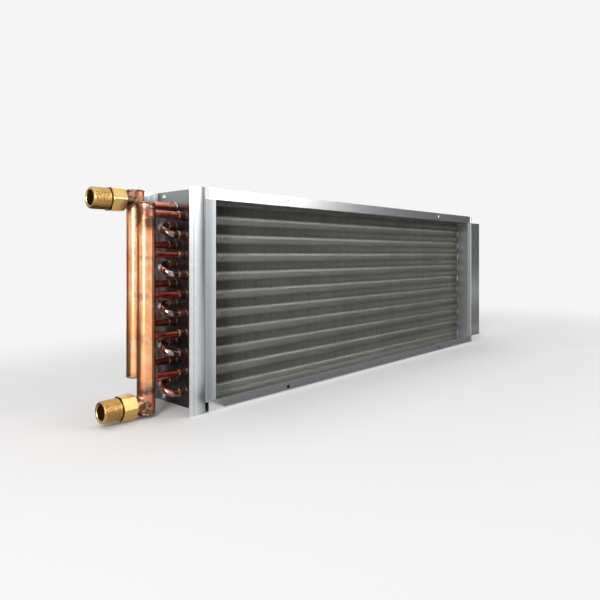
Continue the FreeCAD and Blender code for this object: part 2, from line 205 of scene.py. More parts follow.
def placeGroup(tree, group, place, values):
    node = tree.nodes.new("ShaderNodeGroup")
    node.node_tree = group
    tree.links.new(place, node.inputs["Place"])
    for label, value in values.items():
        node.inputs[label].default_value = value
    return node


def makeGalvanised(name, look):
    material, tree, shader, place = startMaterial(name, 1.0)
    flakes = tree.nodes.new("ShaderNodeTexVoronoi")
    flakes.inputs["Scale"].default_value = look["flakes"]
    warp = tree.nodes.new("ShaderNodeTexNoise")
    warp.inputs["Scale"].default_value = look["warpScale"]
    tree.links.new(place, warp.inputs["Vector"])
    bend = tree.nodes.new("ShaderNodeVectorMath")
    bend.operation = "MULTIPLY_ADD"
    tree.links.new(warp.outputs["Color"], bend.inputs[0])
    bend.inputs[1].default_value = (look["warp"],) * 3
    tree.links.new(place, bend.inputs[2])
    tree.links.new(bend.outputs[0], flakes.inputs["Vector"])
    grain = tree.nodes.new("ShaderNodeSeparateColor")
    tree.links.new(flakes.outputs["Color"], grain.inputs[0])
    marks = placeGroup(tree, handlingMarks, place, look["marks"])
    tone = addMath(tree, "MULTIPLY_ADD", grain.outputs["Red"], look["flakeTone"], look["toneStart"])
    tone = addMath(tree, "MULTIPLY_ADD", marks.outputs["Patches"], look["patchTone"], tone)
    base = addMix(tree, tone, look["dark"], look["light"])
    base = addMix(tree, addMath(tree, "MULTIPLY", marks.outputs["Scratches"], look["scratch"]), base, look["light"])
    low, high = look["rough"]
    rough = addMath(tree, "MULTIPLY_ADD", grain.outputs["Green"], high - low, low)
    normal = marks.outputs["Normal"]
    spot = splitPlace(tree, place)
    if "mattFace" in look:  # painted shade: the outer face darkens towards its fold, and the folded leg inside the recess gets a darker colour as painted shade
        facing = splitPlace(tree, tree.nodes["Texture Coordinate"].outputs["Normal"])
        outer = addSmooth(tree, addMath(tree, "ABSOLUTE", facing["Y"]), *look["turned"])
        rough = addMath(tree, "MULTIPLY_ADD", outer, look["mattFace"], rough)
        # painted shade: the outer face's colour darkens towards the fold
        sheetShade = addSmooth(tree, spot["X"], *look["foldShadeReach"])
        base = addMix(tree, addMath(tree, "MULTIPLY", sheetShade, look["foldShadeShare"]), base, look["sheetShade"])
        # painted shade: the folded leg, a wall of the recess, gets a darker colour
        base = addMix(tree, outer, look["leg"], base)
    if "foldStart" in look:  # the flange rolls softly into its fold as a bump; painted shade darkens it towards the fold, and a faint line of painted shade marks its hem
        rolled = addMath(tree, "SUBTRACT", spot["X"], look["foldStart"])
        rolled = addMath(tree, "MINIMUM", addMath(tree, "MAXIMUM", rolled, 0.0), look["foldWidth"])
        drop = addMath(tree, "MULTIPLY", addMath(tree, "MULTIPLY", rolled, rolled), -look["foldCurve"])
        normal = addBump(tree, drop, 1, 1, normal)
        # painted shade: a faint dark line along the hem
        hem = addMath(tree, "ABSOLUTE", addMath(tree, "SUBTRACT", spot["X"], look["hemLine"]))
        hem = addSmooth(tree, hem, *look["hemReach"])
        base = addMix(tree, addMath(tree, "MULTIPLY", hem, look["hemShare"]), base, look["sheetShade"])
        # painted shade: the flange's colour darkens towards the fold into the web
        edge = addMath(tree, "DIVIDE", rolled, look["foldWidth"])
        base = addMix(tree, addMath(tree, "MULTIPLY", edge, look["foldShare"]), base, look["sheetShade"])
        # painted shade: the web's outer face, below its top strip and away from its sides, is darkened nearly to
        # black in cloudy patches
        aside = addSmooth(tree, addMath(tree, "ABSOLUTE", spot["Y"]), *look["webShadeSide"])
        below = addSmooth(tree, spot["Z"], *look["webShadeTop"])
        onWeb = addSmooth(tree, spot["X"], *look["webFace"])
        webShade = addMath(tree, "MULTIPLY", addMath(tree, "MULTIPLY", aside, below), onWeb)
        cloud = addMath(tree, "MULTIPLY_ADD", addNoise(tree, place, *look["webShadeNoise"]), *look["webShadeCloud"])
        webShade = addMath(tree, "MULTIPLY", webShade, cloud)
        base = addMix(tree, webShade, base, look["webShade"])
        rough = addMath(tree, "MULTIPLY_ADD", webShade, look["webShadeRough"], rough)
    linkShader(tree, shader, base, rough, normal)
    return material


def makeFinMetal():
    look = {
        "bright": (0.96, 0.95, 0.91), "dull": (0.54, 0.535, 0.505), "firstRow": 0.24545,
        "rowStep": 0.0254, "band": (0.0084, 0.0020), "streak": (0.20, 0.20, 0.185),
        "streakNoise": (260, 2, (1, 0.02, 0.02)), "streakRange": (0.42, 0.66), "streakShare": 0.22,
        "sheenNoise": (40, 4, (1, 0.3, 0.3)), "sheen": (0.6, 0.62), "falloffReach": (-0.25, 0.35),
        "fade": (-0.6, 1.4), "metallic": 0.85, "rough": (0.25, 0.30),
        "marks": {"Patch Scale": 25, "Scratch Scale": 500, "Scratch Depth": 0.08},
    }
    material, tree, shader, place = startMaterial("finSheet", look["metallic"])
    spot = splitPlace(tree, place)
    # painted highlight: bright bands at each tube row, front row at the front and rear row behind, stand in for the
    # light caught where the fins flare; the sheen noise varies their strength
    highlightBands = []
    for offset in (0, look["rowStep"] / 2):
        turns = addMath(tree, "SUBTRACT", spot["Z"], look["firstRow"] + offset)
        turns = addMath(tree, "DIVIDE", turns, look["rowStep"])
        distance = addMath(tree, "MULTIPLY", addMath(tree, "PINGPONG", turns, 0.5), look["rowStep"])
        highlightBands.append(addSmooth(tree, distance, *look["band"]))
    atRear = addMath(tree, "GREATER_THAN", spot["Y"], 0.0)
    pick = tree.nodes.new("ShaderNodeMix")
    for index, value in ((0, atRear), (2, highlightBands[0]), (3, highlightBands[1])):
        tree.links.new(value, pick.inputs[index])
    sheen = addMath(tree, "MULTIPLY_ADD", addNoise(tree, place, *look["sheenNoise"]), *look["sheen"])
    tone = addMath(tree, "MULTIPLY", pick.outputs[0], sheen)
    # painted light falloff: the bands are brightest at the left end and dimmer towards the right
    falloff = addSmooth(tree, spot["X"], *look["falloffReach"])
    tone = addMath(tree, "MULTIPLY", tone, addMath(tree, "MULTIPLY_ADD", falloff, *look["fade"]))
    streaks = addSmooth(tree, addNoise(tree, place, *look["streakNoise"]), *look["streakRange"])
    base = addMix(tree, addMath(tree, "MULTIPLY", streaks, look["streakShare"]), look["dull"], look["streak"])
    # painted highlight: the band tone lifts the base to the bright colour
    base = addMix(tree, tone, base, look["bright"])
    marks = placeGroup(tree, handlingMarks, place, look["marks"])
    rough = addMath(tree, "MULTIPLY_ADD", marks.outputs["Patches"], *look["rough"])
    linkShader(tree, shader, base, rough, marks.outputs["Normal"])
    return material


def makeCopper(name, look):
    both = {
        "top": (0.220, 0.236), "foot": (0.046, 0.033), "firstJoint": 0.24985, "rearLift": 0.024,
        "solder": (0.62, 0.53, 0.50), "scorch": (0.50, 0.17, 0.11), "patches": (0.35, 0.65),
        "spots": (0.44, 0.62), "spotShare": 0.7, "clouds": (0.38, 0.56), "cloudShare": (0.25, 0.70),
        "solderNoise": (55, 2), "solderRange": (0.60, 0.68), "scratch": 0.18,
        "burntRough": 0.16, "roughStart": -0.06, "patchRough": 0.14,
        "marks": {"Patch Scale": 45, "Scratch Scale": 350, "Scratch Depth": 0.06},
    }
    material, tree, shader, place = startMaterial(name, 1.0)
    marks = placeGroup(tree, handlingMarks, place, both["marks"])
    joints = {"First Joint": both["firstJoint"], "Joint Step": look["joints"], "Reach": look["reach"]}
    stain = placeGroup(tree, heatStain, place, joints)
    patches = addSmooth(tree, marks.outputs["Patches"], *both["patches"])
    base = addMix(tree, patches, look["clean"], look["warm"])
    spots = addSmooth(tree, stain.outputs["Clouds"], *both["spots"])
    spots = addMath(tree, "MULTIPLY", spots, stain.outputs["Stain"])
    base = addMix(tree, addMath(tree, "MULTIPLY", spots, both["spotShare"]), base, look["brown"])
    spot = splitPlace(tree, place)
    lift = addMath(tree, "MULTIPLY", addMath(tree, "GREATER_THAN", spot["Y"], 0.0), -both["rearLift"])
    top = addSmooth(tree, addMath(tree, "ADD", spot["Z"], lift), *both["top"])
    foot = addSmooth(tree, spot["Z"], *both["foot"])
    cloudy = addSmooth(tree, stain.outputs["Clouds"], *both["clouds"])
    tarnish = addMix(tree, cloudy, both["scorch"], look["burnt"])
    silvery = addSmooth(tree, addNoise(tree, place, *both["solderNoise"]), *both["solderRange"])
    tarnish = addMix(tree, addMath(tree, "MULTIPLY", silvery, look["soldered"]), tarnish, both["solder"])
    cloudy = addMath(tree, "MULTIPLY_ADD", cloudy, *both["cloudShare"])
    heated = addMath(tree, "MAXIMUM", top, foot)
    if "bells" in look:  # the belled ends took the torch, the rest of the tube stayed clean
        heated = addSmooth(tree, spot["X"], *look["bells"])
    burnt = addMath(tree, "MULTIPLY", heated, cloudy)
    base = addMix(tree, burnt, base, tarnish)
    base = addMix(tree, addMath(tree, "MULTIPLY", marks.outputs["Scratches"], both["scratch"]), base, look["clean"])
    worn = addMath(tree, "MULTIPLY_ADD", burnt, both["burntRough"], look["rough"] + both["roughStart"])
    worn = addMath(tree, "MULTIPLY_ADD", marks.outputs["Patches"], both["patchRough"], worn)
    linkShader(tree, shader, base, worn, marks.outputs["Normal"])
    return material


def makeBrass():
    look = {
        "bright": (0.80, 0.56, 0.235), "dull": (0.60, 0.385, 0.14), "brassShade": (0.22, 0.125, 0.04),
        "patches": (0.35, 0.68), "thread": (-0.4346, -0.4358), "threadShare": 0.35,
        "groove": -0.4342, "grooveReach": (0.0014, 0.00098), "grooveShare": 0.8, "rough": (0.22, 0.17),
        "marks": {"Patch Scale": 28, "Scratch Scale": 700, "Scratch Depth": 0.01},
    }
    material, tree, shader, place = startMaterial("machinedBrass", 1.0)
    marks = placeGroup(tree, handlingMarks, place, look["marks"])
    patches = addSmooth(tree, marks.outputs["Patches"], *look["patches"])
    base = addMix(tree, patches, look["bright"], look["dull"])
    spot = splitPlace(tree, place)
    # painted shade: the threaded part is darkened
    brassShade = addSmooth(tree, spot["X"], *look["thread"])
    base = addMix(tree, addMath(tree, "MULTIPLY", brassShade, look["threadShare"]), base, look["brassShade"])
    # painted shade: a dark ring in the groove between thread and hex
    inGroove = addMath(tree, "ABSOLUTE", addMath(tree, "SUBTRACT", spot["X"], look["groove"]))
    inGroove = addSmooth(tree, inGroove, *look["grooveReach"])
    base = addMix(tree, addMath(tree, "MULTIPLY", inGroove, look["grooveShare"]), base, look["brassShade"])
    rough = addMath(tree, "MULTIPLY_ADD", marks.outputs["Patches"], *look["rough"])
    linkShader(tree, shader, base, rough, marks.outputs["Normal"])
    return material


def makeBraze():
    look = {
        "metal": (0.44, 0.28, 0.16), "flux": (0.10, 0.065, 0.045), "patchNoise": (260, 4), "patches": (0.40, 0.62),
        "lumpNoise": (900, 3), "lumpStrength": 0.35, "lumpHeight": 0.0003,
        "metallic": 0.9, "rough": (0.4, 0.2),
    }
    material, tree, shader, place = startMaterial("brazingAlloy", look["metallic"])
    patches = addNoise(tree, place, *look["patchNoise"])
    base = addMix(tree, addSmooth(tree, patches, *look["patches"]), look["flux"], look["metal"])
    lumps = addNoise(tree, place, *look["lumpNoise"])
    normal = addBump(tree, lumps, look["lumpStrength"], look["lumpHeight"])
    rough = addMath(tree, "MULTIPLY_ADD", patches, *look["rough"])
    linkShader(tree, shader, base, rough, normal)
    return material


def makeRivetMetal():
    look = {
        "dull": (0.62, 0.63, 0.64), "bright": (0.86, 0.87, 0.88), "rough": (0.2, 0.22),
        "marks": {"Patch Scale": 300, "Scratch Scale": 900, "Scratch Depth": 0.06},
    }
    material, tree, shader, place = startMaterial("rivetMetal", 1.0)
    marks = placeGroup(tree, handlingMarks, place, look["marks"])
    base = addMix(tree, marks.outputs["Patches"], look["dull"], look["bright"])
    rough = addMath(tree, "MULTIPLY_ADD", marks.outputs["Patches"], *look["rough"])
    linkShader(tree, shader, base, rough, marks.outputs["Normal"])
    return material


zinc = {
    "light": (0.76, 0.77, 0.78), "dark": (0.65, 0.665, 0.68), "sheetShade": (0.22, 0.23, 0.24),
    "flakes": 150, "warpScale": 160, "warp": 0.0025, "rough": (0.25, 0.26), "flakeTone": 0.30,
    "toneStart": 0.10, "patchTone": 0.8, "scratch": 0.2,
    "marks": {"Patch Scale": 9, "Scratch Scale": 420, "Scratch Depth": 0.004},
}
softFold = {
    "foldStart": -0.3520, "foldWidth": 0.0125, "foldCurve": 8.0, "foldShare": 0.75,
    "hemLine": -0.3553, "hemReach": (0.0009, 0.0003), "hemShare": 0.5,
    "webShade": (0.035, 0.030, 0.030), "webShadeSide": (0.042, 0.026), "webShadeTop": (0.270, 0.258),
    "webFace": (-0.3420, -0.3405), "webShadeNoise": (90, 4), "webShadeCloud": (0.4, 0.72), "webShadeRough": 0.18,
}
stripZinc = {
    "light": (0.56, 0.59, 0.62), "dark": (0.47, 0.505, 0.535), "leg": (0.36, 0.37, 0.38),
    "rough": (0.44, 0.46), "mattFace": 0.01, "turned": (0.4, 0.8),
    "foldShadeReach": (-0.3190, -0.3330), "foldShadeShare": 0.65,
}
galvanisedSheet = makeGalvanised("galvanisedSheet", zinc)
foldedSheet = makeGalvanised("foldedSheet", {**zinc, **softFold})
mattSheet = makeGalvanised("mattSheet", {**zinc, **stripZinc})
finSheet = makeFinMetal()
headerCopper = makeCopper("headerCopper", {
    "clean": (1.0, 0.57, 0.30), "warm": (0.97, 0.38, 0.165), "brown": (0.52, 0.22, 0.13),
    "burnt": (0.115, 0.056, 0.036), "joints": 0.0508, "reach": 0.010, "rough": 0.22, "soldered": 0.8,
})
tubeCopper = makeCopper("tubeCopper", {
    "clean": (1.0, 0.28, 0.18), "warm": (0.78, 0.15, 0.10), "brown": (0.17, 0.055, 0.04),
    "burnt": (0.26, 0.08, 0.055), "joints": 0.0127, "reach": 0.004, "rough": 0.22, "soldered": 0.0,
})
hairpinCopper = makeCopper("hairpinCopper", {
    "clean": (0.90, 0.46, 0.31), "warm": (0.74, 0.31, 0.20), "brown": (0.42, 0.18, 0.12),
    "burnt": (0.26, 0.08, 0.055), "joints": 0.0127, "reach": 0.004, "rough": 0.24, "soldered": 0.0,
    "bells": (-0.325, -0.338),
})
bendCopper = makeCopper("bendCopper", {
    "clean": (0.72, 0.60, 0.59), "warm": (0.23, 0.15, 0.15), "brown": (0.09, 0.055, 0.055),
    "burnt": (0.20, 0.13, 0.12), "joints": 0.0127, "reach": 0.006, "rough": 0.15, "soldered": 0.0,
})
machinedBrass = makeBrass()
brazingAlloy = makeBraze()
rivetMetal = makeRivetMetal()
slotMaterials = {
    "galvanised": galvanisedSheet, "fins": finSheet, "header_copper": headerCopper,
    "tube_copper": tubeCopper, "brass": machinedBrass, "rivets": rivetMetal,
}
for part in frame["record"]["subparts"]:
    finish = slotMaterials[part["material_slot"]]
    if "baffle" in part["node"]:
        finish = mattSheet
    if "return_bend" in part["node"]:
        finish = bendCopper
    if "hairpin" in part["node"]:
        finish = hairpinCopper
    if part["node"] == "header_end_plate":
        finish = foldedSheet
    for materialSlot in nodes[part["node"]].material_slots:
        materialSlot.material = finish
print("materials ready")


# Helpers that make meshes.
def addRings(points, faces, rings, closed=True, loop=False):  # skins a run of rings that share a count
    start = len(points)
    count = len(rings[0])
    for ring in rings:
        points.extend(ring)
    steps = len(rings) if loop else len(rings) - 1
    around = count if closed else count - 1
    for r in range(steps):
        here = start + r * count
        there = start + ((r + 1) % len(rings)) * count
        for i in range(around):
            j = (i + 1) % count
            faces.append((here + i, here + j, there + j, there + i))


def makePiece(name, points, faces, material, smooth=True):
    mesh = bpy.data.meshes.new(name)
    mesh.from_pydata(points, [], faces)
    build = bmesh.new()
    build.from_mesh(mesh)
    bmesh.ops.recalc_face_normals(build, faces=build.faces)
    build.to_mesh(mesh)
    build.free()
    mesh.materials.append(material)
    for index, polygon in enumerate(mesh.polygons):
        polygon.use_smooth = smooth[index] if isinstance(smooth, list) else smooth
    piece = bpy.data.objects.new(name, mesh)
    scene.collection.objects.link(piece)
    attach(piece, "root")
    return piece


def ringAlongX(x, centre, radius, count):
    y, z = centre
    turns = [2 * math.pi * i / count for i in range(count)]
    return [(x, y + radius * math.cos(a), z + radius * math.sin(a)) for a in turns]


def ringAlongZ(z, centre, radius, count):
    x, y = centre
    turns = [2 * math.pi * i / count for i in range(count)]
    return [(x + radius * math.cos(a), y + radius * math.sin(a), z) for a in turns]


# Places of the tubes: ten to a row, the rear row half a pitch higher.
coil = {
    "tubes": 10, "rowStep": 0.0254, "frontTop": 0.24985, "rearTop": 0.26255, "rowSide": 0.011,
    "tubeRadius": 0.00476, "headerX": -0.3962, "headerSide": 0.0122, "headerRadius": 0.0111, "stubRadius": 0.0095,
}
rows = {"front": (-coil["rowSide"], coil["frontTop"]), "rear": (coil["rowSide"], coil["rearTop"])}
stubLevels = {"front": 0.0174, "rear": 0.2664}


def tubeCentres(side):
    y, top = rows[side]
    return [(y, top - k * coil["rowStep"]) for k in range(coil["tubes"])]


# Fins.
def buildFins():
    look = {
        "spacing": 0.0025, "ripple": 0.0002, "waves": 2, "lean": 0.0001, "sway": 0.00015,
        "swayTurns": 30, "swayPower": 6, "phase": 6, "margins": (0.0021, 0.0006), "edge": 0.0005, "seed": 7,
        "depths": (-1, -0.93, -0.4, 0.4, 0.93, 1),
        "marks": (-0.25, -0.15, -0.05, 0.05, 0.15, 0.25, 0.35, 0.45, 0.55, 0.65),
        "sleeve": 0.0003, "sleeveInset": 0.001, "sleeveAround": 24,
        "flare": 0.0020, "flareFull": 0.0040, "flareEnd": 0.0076, "flareDrop": 0.0044,
    }
    low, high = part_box("fin_pack")
    halfDepth = (high.y - low.y) / 2
    middle = rows["front"][1] - look["flareDrop"]
    turns = range(-1, coil["tubes"] + 1)
    levels = [middle + (mark - turn) * coil["rowStep"] for turn in turns for mark in look["marks"]]
    levels = sorted([low.z, high.z] + [z for z in levels if low.z + look["edge"] < z < high.z - look["edge"]])
    total = int((high.x - low.x) / look["spacing"])
    dice = random.Random(look["seed"])
    groups = {"fin_sheets_near": range(0, total // 2), "fin_sheets_far": range(total // 2, total + 1)}
    for name, numbers in groups.items():
        points, faces = [], []
        for number in numbers:
            x = low.x + number * look["spacing"]
            x = min(max(x, low.x + look["margins"][0]), high.x - look["margins"][1])
            lean = dice.uniform(-look["lean"], look["lean"])
            size, phase = dice.uniform(-look["sway"], look["sway"]), dice.uniform(0, look["phase"])
            rings = []
            for depth in look["depths"]:
                column = []
                for z in levels:
                    side = "rear" if depth > 0 else "front"
                    turn = (rows[side][1] - z) / coil["rowStep"]
                    below = turn - look["flareDrop"] / coil["rowStep"]
                    away = abs(below - round(below)) * coil["rowStep"]
                    wave = math.sin(turn * math.pi * 2 * look["waves"]) * look["ripple"]
                    sway = size * math.sin(z * look["swayTurns"] + phase) * abs(depth) ** look["swayPower"]
                    share = (look["flareEnd"] - away) / (look["flareEnd"] - look["flareFull"])
                    flare = look["flare"] * min(1, max(0, share)) if abs(depth) == 1 else 0
                    column.append((x + lean + wave + sway - flare, halfDepth * depth, z))
                rings.append(column)
            addRings(points, faces, rings, closed=False)
        piece = makePiece(name, points, faces, finSheet)
        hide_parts("fin_pack")
    points, faces = [], []
    sleeve = coil["tubeRadius"] + look["sleeve"]
    ends = (low.x + look["sleeveInset"], high.x - look["sleeveInset"])
    for side in rows:
        for centre in tubeCentres(side):
            addRings(points, faces, [ringAlongX(x, centre, sleeve, look["sleeveAround"]) for x in ends])
    makePiece("fin_collars", points, faces, finSheet)


buildFins()
print("fins ready")


# Brass fittings.
def buildFitting(side):
    look = {
        "pitch": 0.001814, "depth": 0.00112, "threadEnd": 0.0210, "hexStart": 0.0230, "length": 0.0410,
        "crest": 0.0132, "relief": 0.0120, "flats": 0.0140, "corner": 0.01577, "bevel": 0.0010,
        "bore": 0.0091, "throat": 0.0085, "socket": 0.0096, "around": 96, "steps": 140,
        "threadStart": 0.0001, "crestWidth": (0.12, 0.76), "runOut": 0.0012, "lead": 0.0118, "face": 0.0116,
        "undercut": 0.0003, "hexRings": (0.0234, 0.0240, 0.0400, 0.0406, 0.0410),
        "throatEnds": (0.027, 0.017), "mouth": 0.0009, "mouthBevel": 0.0008,
    }
    node = side + "_fitting"
    low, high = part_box(node)
    centre = ((low.y + high.y) / 2, (low.z + high.z) / 2)
    count = look["around"]
    turns = [2 * math.pi * i / count for i in range(count)]

    def ring(u, radiusAt):
        return [
            (low.x + u, centre[0] + radiusAt(a) * math.cos(a), centre[1] + radiusAt(a) * math.sin(a))
            for a in turns
        ]

    def plain(radius):
        return lambda angle: radius

    def thread(u):
        flat, slope = look["crestWidth"]

        def radiusAt(angle):
            turn = (u / look["pitch"] - angle / (2 * math.pi)) % 1.0
            flank = min(1, max(0, (abs(turn - 0.5) * 2 - flat) / slope))
            fade = min(1, max(0, (look["threadEnd"] - u) / look["runOut"]))
            radius = look["crest"] - look["depth"] * flank * fade
            return min(radius, look["lead"] + u)
        return radiusAt

    def hexagon(u):
        edge = min(u - look["hexStart"], look["length"] - u)
        limit = look["corner"] - max(0, look["bevel"] - edge)

        def radiusAt(angle):
            slant = math.radians(30) - (angle % math.radians(60))
            return min(look["flats"] / math.cos(slant), limit)
        return radiusAt

    deep, shallow = look["throatEnds"]
    rings = [ring(deep, plain(look["throat"])), ring(shallow, plain(look["throat"])),
             ring(shallow, plain(look["bore"])), ring(look["mouth"], plain(look["bore"])),
             ring(0.0, plain(look["bore"] + look["mouthBevel"])), ring(0.0, plain(look["face"]))]
    smooth = [False] * 5
    for index in range(look["steps"] + 1):
        u = look["threadStart"] + (look["threadEnd"] - look["threadStart"]) * index / look["steps"]
        rings.append(ring(u, thread(u)))
        smooth.append(True)
    rings += [ring(look["threadEnd"] + look["undercut"], plain(look["relief"])),
              ring(look["hexStart"], plain(look["relief"])),
              ring(look["hexStart"], hexagon(look["hexStart"]))]
    rings += [ring(u, hexagon(u)) for u in look["hexRings"]]
    rings += [ring(look["length"], plain(look["socket"])), ring(deep, plain(look["socket"]))]
    smooth += [False] * (len(rings) - len(smooth))
    points, faces = [], []
    addRings(points, faces, rings, loop=True)
    smoothFaces = [smooth[i // count] for i in range(len(faces))]
    piece = makePiece(side + "_fitting_threaded", points, faces, machinedBrass, smoothFaces)
    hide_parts(node)


for side in rows:
    buildFitting(side)
print("fittings ready")


# Brazed joints.
brazing = {
    "feeder": 0.0017, "stub": 0.0024, "bellMouth": -0.3482, "sink": 0.0001, "curl": 1.7, "capSeat": 0.002,
    "unrest": 700, "saddleUnrest": 0.5, "bellUnrest": 0.05, "bellFine": 3, "rimUnrest": 0.03,
    "shares": (0, 0.25, 0.5, 0.75, 1), "saddleAround": 40, "bellAround": 32, "rimAround": 48,
    "bellBead": ((-0.0002, 0.0056), (0.0003, 0.00555), (0.0009, 0.0053), (0.0016, 0.0049), (0.0019, 0.00472)),
    "rimBead": ((-0.0011, 0.01105), (-0.0005, 0.01145), (0.0, 0.01155), (0.0005, 0.01145), (0.0010, 0.01105)),
}


def wobble(point, amount):
    return amount * noise.noise(Vector(point) * brazing["unrest"])


def addSaddle(points, faces, headerY, centre, radius, toward, size):  # fillet where a tube enters a header
    y0, z0 = centre
    sunk = brazing["sink"]
    count = brazing["saddleAround"]
    rings = []
    for share in brazing["shares"]:
        ring = []
        for i in range(count):
            angle = 2 * math.pi * i / count
            place = (y0 + math.cos(angle), z0 + math.sin(angle), share)
            spread = size * (1 + wobble(place, brazing["saddleUnrest"]))
            out = (1 - share) ** brazing["curl"] * spread
            rise = share ** brazing["curl"] * spread
            y = y0 + (radius + out + sunk) * math.cos(angle)
            z = z0 + (radius + out + sunk) * math.sin(angle)
            reach = max(coil["headerRadius"] ** 2 - (y - headerY) ** 2, 0)
            ring.append((coil["headerX"] + toward * (math.sqrt(reach) - sunk + rise), y, z))
        rings.append(ring)
    addRings(points, faces, rings)


def addBellBead(points, faces, centre):
    fine = brazing["bellFine"]
    rings = []
    for along, radius in brazing["bellBead"]:
        ring = []
        for px, py, pz in ringAlongX(brazing["bellMouth"] - along, centre, radius, brazing["bellAround"]):
            push = 1 + wobble((px * fine, py * fine, pz * fine), brazing["bellUnrest"])
            ring.append((px, centre[0] + (py - centre[0]) * push, centre[1] + (pz - centre[1]) * push))
        rings.append(ring)
    addRings(points, faces, rings)


def addRimBead(points, faces, centre, level):
    rings = []
    for rise, radius in brazing["rimBead"]:
        ring = []
        for px, py, pz in ringAlongZ(level + rise, centre, radius, brazing["rimAround"]):
            push = 1 + wobble((px, py, pz), brazing["rimUnrest"])
            ring.append((centre[0] + (px - centre[0]) * push, centre[1] + (py - centre[1]) * push, pz))
        rings.append(ring)
    addRings(points, faces, rings)


def buildBrazing():
    for side in rows:
        headerY = -coil["headerSide"] if side == "front" else coil["headerSide"]
        points, faces = [], []
        for centre in tubeCentres(side)[0::2]:
            addSaddle(points, faces, headerY, centre, coil["tubeRadius"], 1, brazing["feeder"])
        addSaddle(points, faces, headerY, (headerY, stubLevels[side]), coil["stubRadius"], -1, brazing["stub"])
        for end in ("lower", "upper"):
            low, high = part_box(f"{side}_header_{end}_cap")
            level = high.z - brazing["capSeat"] if end == "lower" else low.z + brazing["capSeat"]
            addRimBead(points, faces, (coil["headerX"], headerY), level)
        makePiece(side + "_header_brazing", points, faces, brazingAlloy)
        points, faces = [], []
        for centre in tubeCentres(side):
            addBellBead(points, faces, centre)
        makePiece(side + "_bell_brazing", points, faces, brazingAlloy)


buildBrazing()
print("brazed joints ready")


# Collars of the plates, rivets and holes: outer face of each end web and the way it looks.
webs = {"header": (-0.3382, -1), "bend": (0.4142, 1)}


def buildCollars():
    look = {
        "around": 32,
        "profile": (
            (0.0, 0.0071), (0.0004, 0.0063), (0.0011, 0.0058),
            (0.0021, 0.0056), (0.0021, 0.00487), (0.0, 0.00487),
        ),
    }
    for end, (web, outward) in webs.items():
        points, faces = [], []
        for side in rows:
            for centre in tubeCentres(side):
                rings = [
                    ringAlongX(web + outward * u, centre, r, look["around"]) for u, r in look["profile"]
                ]
                addRings(points, faces, rings)
        sheet = foldedSheet if end == "header" else galvanisedSheet
        makePiece(end + "_plate_collars", points, faces, sheet)


def buildRivets():
    look = {
        "halfSpan": 0.036, "levels": (0.2771, 0.0067), "around": 24,
        "head": (
            (0.0, 0.0034), (0.0003, 0.0034), (0.0008, 0.0030), (0.00115, 0.0023), (0.0013, 0.0015),
            (0.00125, 0.0011), (0.0005, 0.00105), (0.0004, 0.0008), (0.0007, 0.0007), (0.0008, 0.0004),
            (0.0008, 0.00001),
        ),
        "tail": (
            (0.0, 0.0034), (0.0, 0.0016), (-0.0024, 0.0016), (-0.0025, 0.0021), (-0.0031, 0.0024),
            (-0.0043, 0.0022), (-0.0054, 0.0013), (-0.0056, 0.0008), (-0.0056, 0.00001),
        ),
    }
    points, faces = [], []
    for web, outward in webs.values():
        for level in look["levels"]:
            for sign in (-1, 1):
                centre = (sign * look["halfSpan"], level)
                for outline in (look["head"], look["tail"]):
                    rings = [ringAlongX(web + outward * u, centre, r, look["around"]) for u, r in outline]
                    addRings(points, faces, rings)
    piece = makePiece("blind_rivets", points, faces, rivetMetal)
    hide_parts("tray_rivets")


def buildHoleRims():
    look = {
        "xs": (-0.187, 0.263), "levels": (0.2771, 0.0067), "face": 0.0528, "around": 28,
        "profile": ((0.0, 0.0042), (0.00012, 0.0036), (0.0004, 0.0031), (0.0004, 0.0029), (-0.0011, 0.00274)),
    }
    turns = [2 * math.pi * i / look["around"] for i in range(look["around"])]
    points, faces = [], []
    for x in look["xs"]:
        for level in look["levels"]:
            for sign in (-1, 1):
                rings = []
                for u, radius in look["profile"]:
                    y = sign * (look["face"] - u)
                    rings.append([(x + radius * math.cos(a), y, level + radius * math.sin(a)) for a in turns])
                addRings(points, faces, rings)
    makePiece("mounting_hole_rims", points, faces, galvanisedSheet)


buildCollars()
buildRivets()
buildHoleRims()
print("small parts ready")


# Floor, light and camera.
def addSeen(tree):  # the backdrop as camera, gloss and glass see it
    path = tree.nodes.new("ShaderNodeLightPath")
    seen = addMath(tree, "MAXIMUM", path.outputs["Is Camera Ray"], path.outputs["Is Glossy Ray"])
    return addMath(tree, "MAXIMUM", seen, path.outputs["Is Transmission Ray"])


